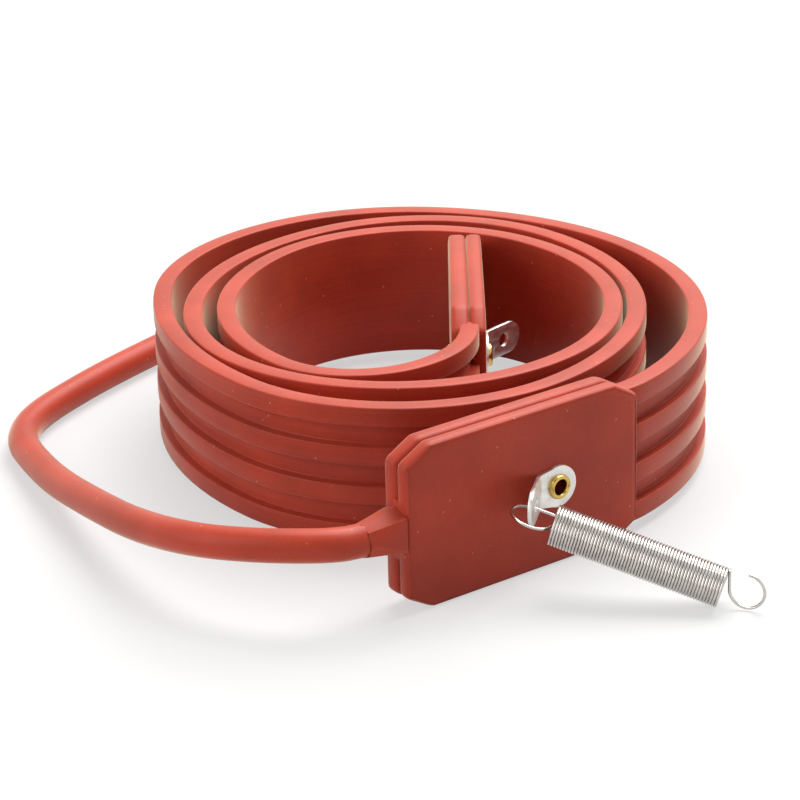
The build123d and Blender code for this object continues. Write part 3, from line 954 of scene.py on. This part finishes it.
class BELT_OT_inner_conductors(bpy.types.Operator):
    """Give the splices inside the blocks their own finishes."""

    bl_idname = "belt.inner_conductors"
    bl_label = "Inner conductors"

    def execute(self, context):
        colours = context.scene.belt_colours
        wound = wound_core("heating_core_wound", colours.glass_braid)
        sleeve = bright_metal("tinned_copper_sleeve", colours.tinned, 0.35, (900.0, 900.0, 900.0), 0.00001)
        dress_node("inner_link", wound)
        for block in ("outer", "inner"):
            for level in ("upper", "lower"):
                dress_node(f"{block}_core_{level}", wound)
                dress_node(f"{block}_sleeve_{level}", sleeve)
        dress_node("outer_lead_core_upper", core_insulation("lead_core_brown", colours.brown))
        dress_node("outer_lead_core_lower", core_insulation("lead_core_blue", colours.blue))
        return {"FINISHED"}


class BELT_OT_stage(bpy.types.Operator):
    """Lay the pale floor and hang the soft studio lamps."""

    bl_idname = "belt.stage"
    bl_label = "Stage"

    def execute(self, context):
        colours = context.scene.belt_colours
        deselect_all()
        bpy.ops.mesh.primitive_plane_add(size=FLOOR_SIZE, location=(0.0, 0.0, -FLOOR_DROP))
        floor = context.object
        floor.name = "floor"
        floor.data.materials.append(pale_ground("floor_pale_matt", colours.floor, FLOOR_SHARE))
        world = bpy.data.worlds.new("pale_studio")
        world.use_nodes = True
        tree = world.node_tree
        tree.nodes.clear()
        white = (1.0, 1.0, 1.0, 1.0)
        fill = add_node(tree, "ShaderNodeBackground", inputs={"Color": white, "Strength": WORLD_FILL})
        seen = add_node(tree, "ShaderNodeBackground", inputs={"Color": white, "Strength": 1.0})
        mixed = add_node(
            tree, "ShaderNodeMixShader",
            inputs={0: seeing_rays(tree), 1: fill.outputs[0], 2: seen.outputs[0]},
        )
        add_node(tree, "ShaderNodeOutputWorld", inputs={"Surface": mixed.outputs[0]})
        context.scene.world = world
        # the card faces the origin, and nothing but a mirror image shows it
        deselect_all()
        place = Vector(CARD_PLACE)
        facing = place.to_track_quat("Z", "Y").to_euler()
        bpy.ops.mesh.primitive_plane_add(size=CARD_SIZE, location=place, rotation=facing)
        card = context.object
        card.name = "dark_card"
        settle(card)
        # as matt as a core's insulation
        card.data.materials.append(core_insulation("card_black", colours.card))
        for rays_off in ("visible_camera", "visible_diffuse", "visible_shadow", "visible_transmission"):
            setattr(card, rays_off, False)
        for name, place, size, power in LAMPS:
            deselect_all()
            bpy.ops.object.light_add(type="AREA", location=place)
            lamp = context.object
            lamp.name = name
            lamp.data.size = size
            lamp.data.energy = power
            lamp.rotation_euler = Vector(place).to_track_quat("Z", "Y").to_euler()
        return {"FINISHED"}


class BELT_PT_panel(bpy.types.Panel):
    """Lists the belt's sizes, colours and pieces in the sidebar."""

    bl_idname = "BELT_PT_panel"
    bl_label = "Heater Belt"
    bl_space_type = "VIEW_3D"
    bl_region_type = "UI"
    bl_category = "Heater Belt"

    def draw(self, context):
        layout = self.layout
        for group in (context.scene.belt_sizes, context.scene.belt_colours):
            box = layout.box()
            for name in group.__annotations__:
                box.prop(group, name)
        for operator in OPERATORS:
            layout.operator(operator.bl_idname)


OPERATORS = [
    BELT_OT_camera, BELT_OT_supply_lead, BELT_OT_heater_strip, BELT_OT_end_blocks, BELT_OT_eyelets,
    BELT_OT_lugs, BELT_OT_tension_spring, BELT_OT_inner_conductors, BELT_OT_stage,
]
CLASSES = [BeltSizes, BeltColours, *OPERATORS, BELT_PT_panel]


def register():
    for kind in CLASSES:
        bpy.utils.register_class(kind)
    bpy.types.Scene.belt_sizes = bpy.props.PointerProperty(type=BeltSizes)
    bpy.types.Scene.belt_colours = bpy.props.PointerProperty(type=BeltColours)


def unregister():
    del bpy.types.Scene.belt_colours
    del bpy.types.Scene.belt_sizes
    for kind in reversed(CLASSES):
        bpy.utils.unregister_class(kind)


def main():
    register()
    bpy.ops.belt.camera()
    bpy.ops.belt.supply_lead()
    bpy.ops.belt.heater_strip()
    bpy.ops.belt.end_blocks()
    bpy.ops.belt.eyelets()
    bpy.ops.belt.lugs()
    bpy.ops.belt.tension_spring()
    bpy.ops.belt.inner_conductors()
    bpy.ops.belt.stage()


if __name__ == "__main__":
    main()
